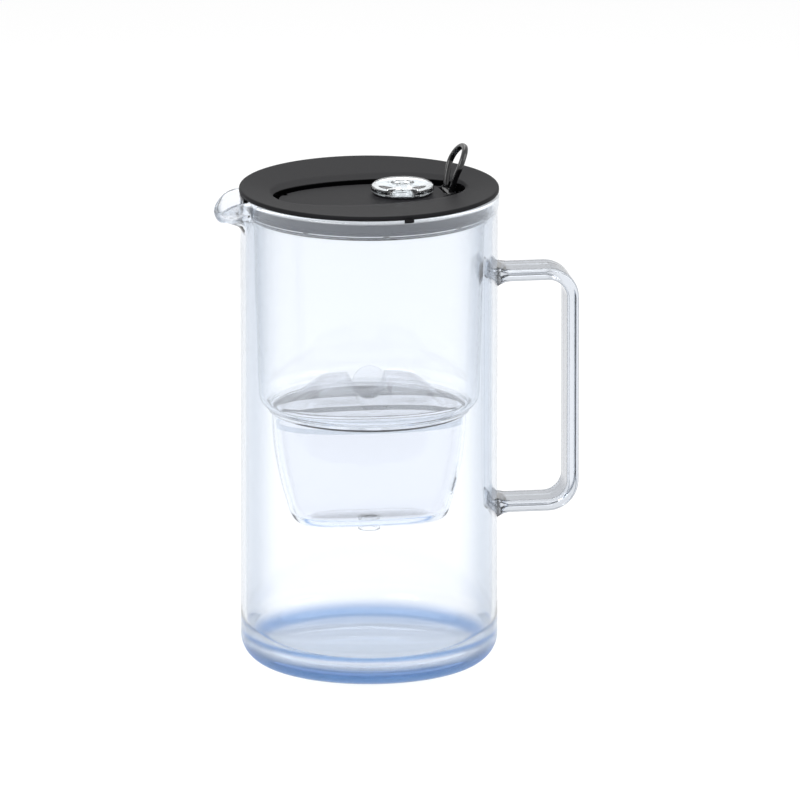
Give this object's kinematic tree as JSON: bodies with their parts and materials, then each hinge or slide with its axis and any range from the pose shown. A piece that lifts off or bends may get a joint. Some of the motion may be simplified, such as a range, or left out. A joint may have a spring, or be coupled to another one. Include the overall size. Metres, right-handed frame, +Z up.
{
  "type": "water filter pitcher",
  "caption": "Glass water pitcher with a pouring lip and strap handle, a hanging funnel with a filter cartridge, and a dark lid with a flip flap, change indicator and pull loop.",
  "frame": {"origin": "centre of the jug's flat foot", "axes": "+Z up, +X towards the handle, -X towards the pouring lip, +Y to the back"},
  "size_m": [0.2069, 0.1479, 0.2981],
  "materials": {
    "borosilicate_glass": "fire-polished clear glass with a faint blue tint",
    "clear_plastic": "clear moulded SAN",
    "lens_plastic": "polished clear PMMA",
    "clear_silicone": "soft translucent silicone",
    "milky_plastic": "translucent white PP",
    "grey_rubber": "soft grey TPE",
    "dark_plastic": "fine satin charcoal ABS",
    "loop_black": "glossy black silicone",
    "reflector_white": "white reflector film",
    "steel": "stainless",
    "screen_mesh": "fine woven polyester mesh",
    "granules": "pale resin beads with some carbon",
    "board": "glass-epoxy board",
    "light_plastic": "diffuse LED epoxy"
  },
  "bodies": {
    "jug": {"glass_jug": "borosilicate_glass", "glass_handle": "borosilicate_glass"},
    "funnel": {"rim_gasket": "clear_silicone", "funnel": "clear_plastic"},
    "cartridge": {"cartridge_shell": "milky_plastic", "cartridge_cover": "milky_plastic", "cartridge_seal": "grey_rubber", "inlet_screen": "screen_mesh", "outlet_screen": "screen_mesh", "filter_media": "granules"},
    "lid": {"lid_cover": "dark_plastic", "lid_seal": "grey_rubber", "flap_hinge_pin": "steel"},
    "flap": {"flap_plate": "dark_plastic", "indicator_housing": "dark_plastic", "indicator_lens": "lens_plastic", "indicator_reflector": "reflector_white", "button_seal": "grey_rubber", "circuit_board": "board", "status_lights": "light_plastic", "dome_switch": "steel", "battery_contacts": "steel", "coin_cell": "steel", "battery_cover_seal": "grey_rubber", "battery_cover": "dark_plastic", "loop_pin": "steel"},
    "button": {"indicator_button": "lens_plastic"},
    "loop": {"pull_loop": "loop_black"}
  },
  "joints": [
    {"name": "funnel_lift", "type": "slide", "parent": "jug", "child": "funnel", "axis": [0, 0, 1], "range_m": [0, 0.2]},
    {"name": "lid_lift", "type": "slide", "parent": "funnel", "child": "lid", "axis": [0, 0, 1], "range_m": [0, 0.05]},
    {"name": "cartridge_lift", "type": "slide", "parent": "funnel", "child": "cartridge", "axis": [0, 0, 1], "range_m": [0, 0.08]},
    {"name": "flap_hinge", "type": "hinge", "parent": "lid", "child": "flap", "pos_m": [-0.04724, -0.00497, 0.2685], "axis": [0.1045, -0.9945, 0], "range_deg": [0, 75]},
    {"name": "button_press", "type": "slide", "parent": "flap", "child": "button", "axis": [0, 0, -1], "range_m": [0, 0.0008], "stiffness_N_per_m": 300, "springref_m": -0.0006},
    {"name": "loop_pivot", "type": "hinge", "parent": "flap", "child": "loop", "pos_m": [0.04605, 0.00484, 0.2693], "axis": [-0.1045, 0.9945, 0], "range_deg": [-35, 25]}
  ]
}
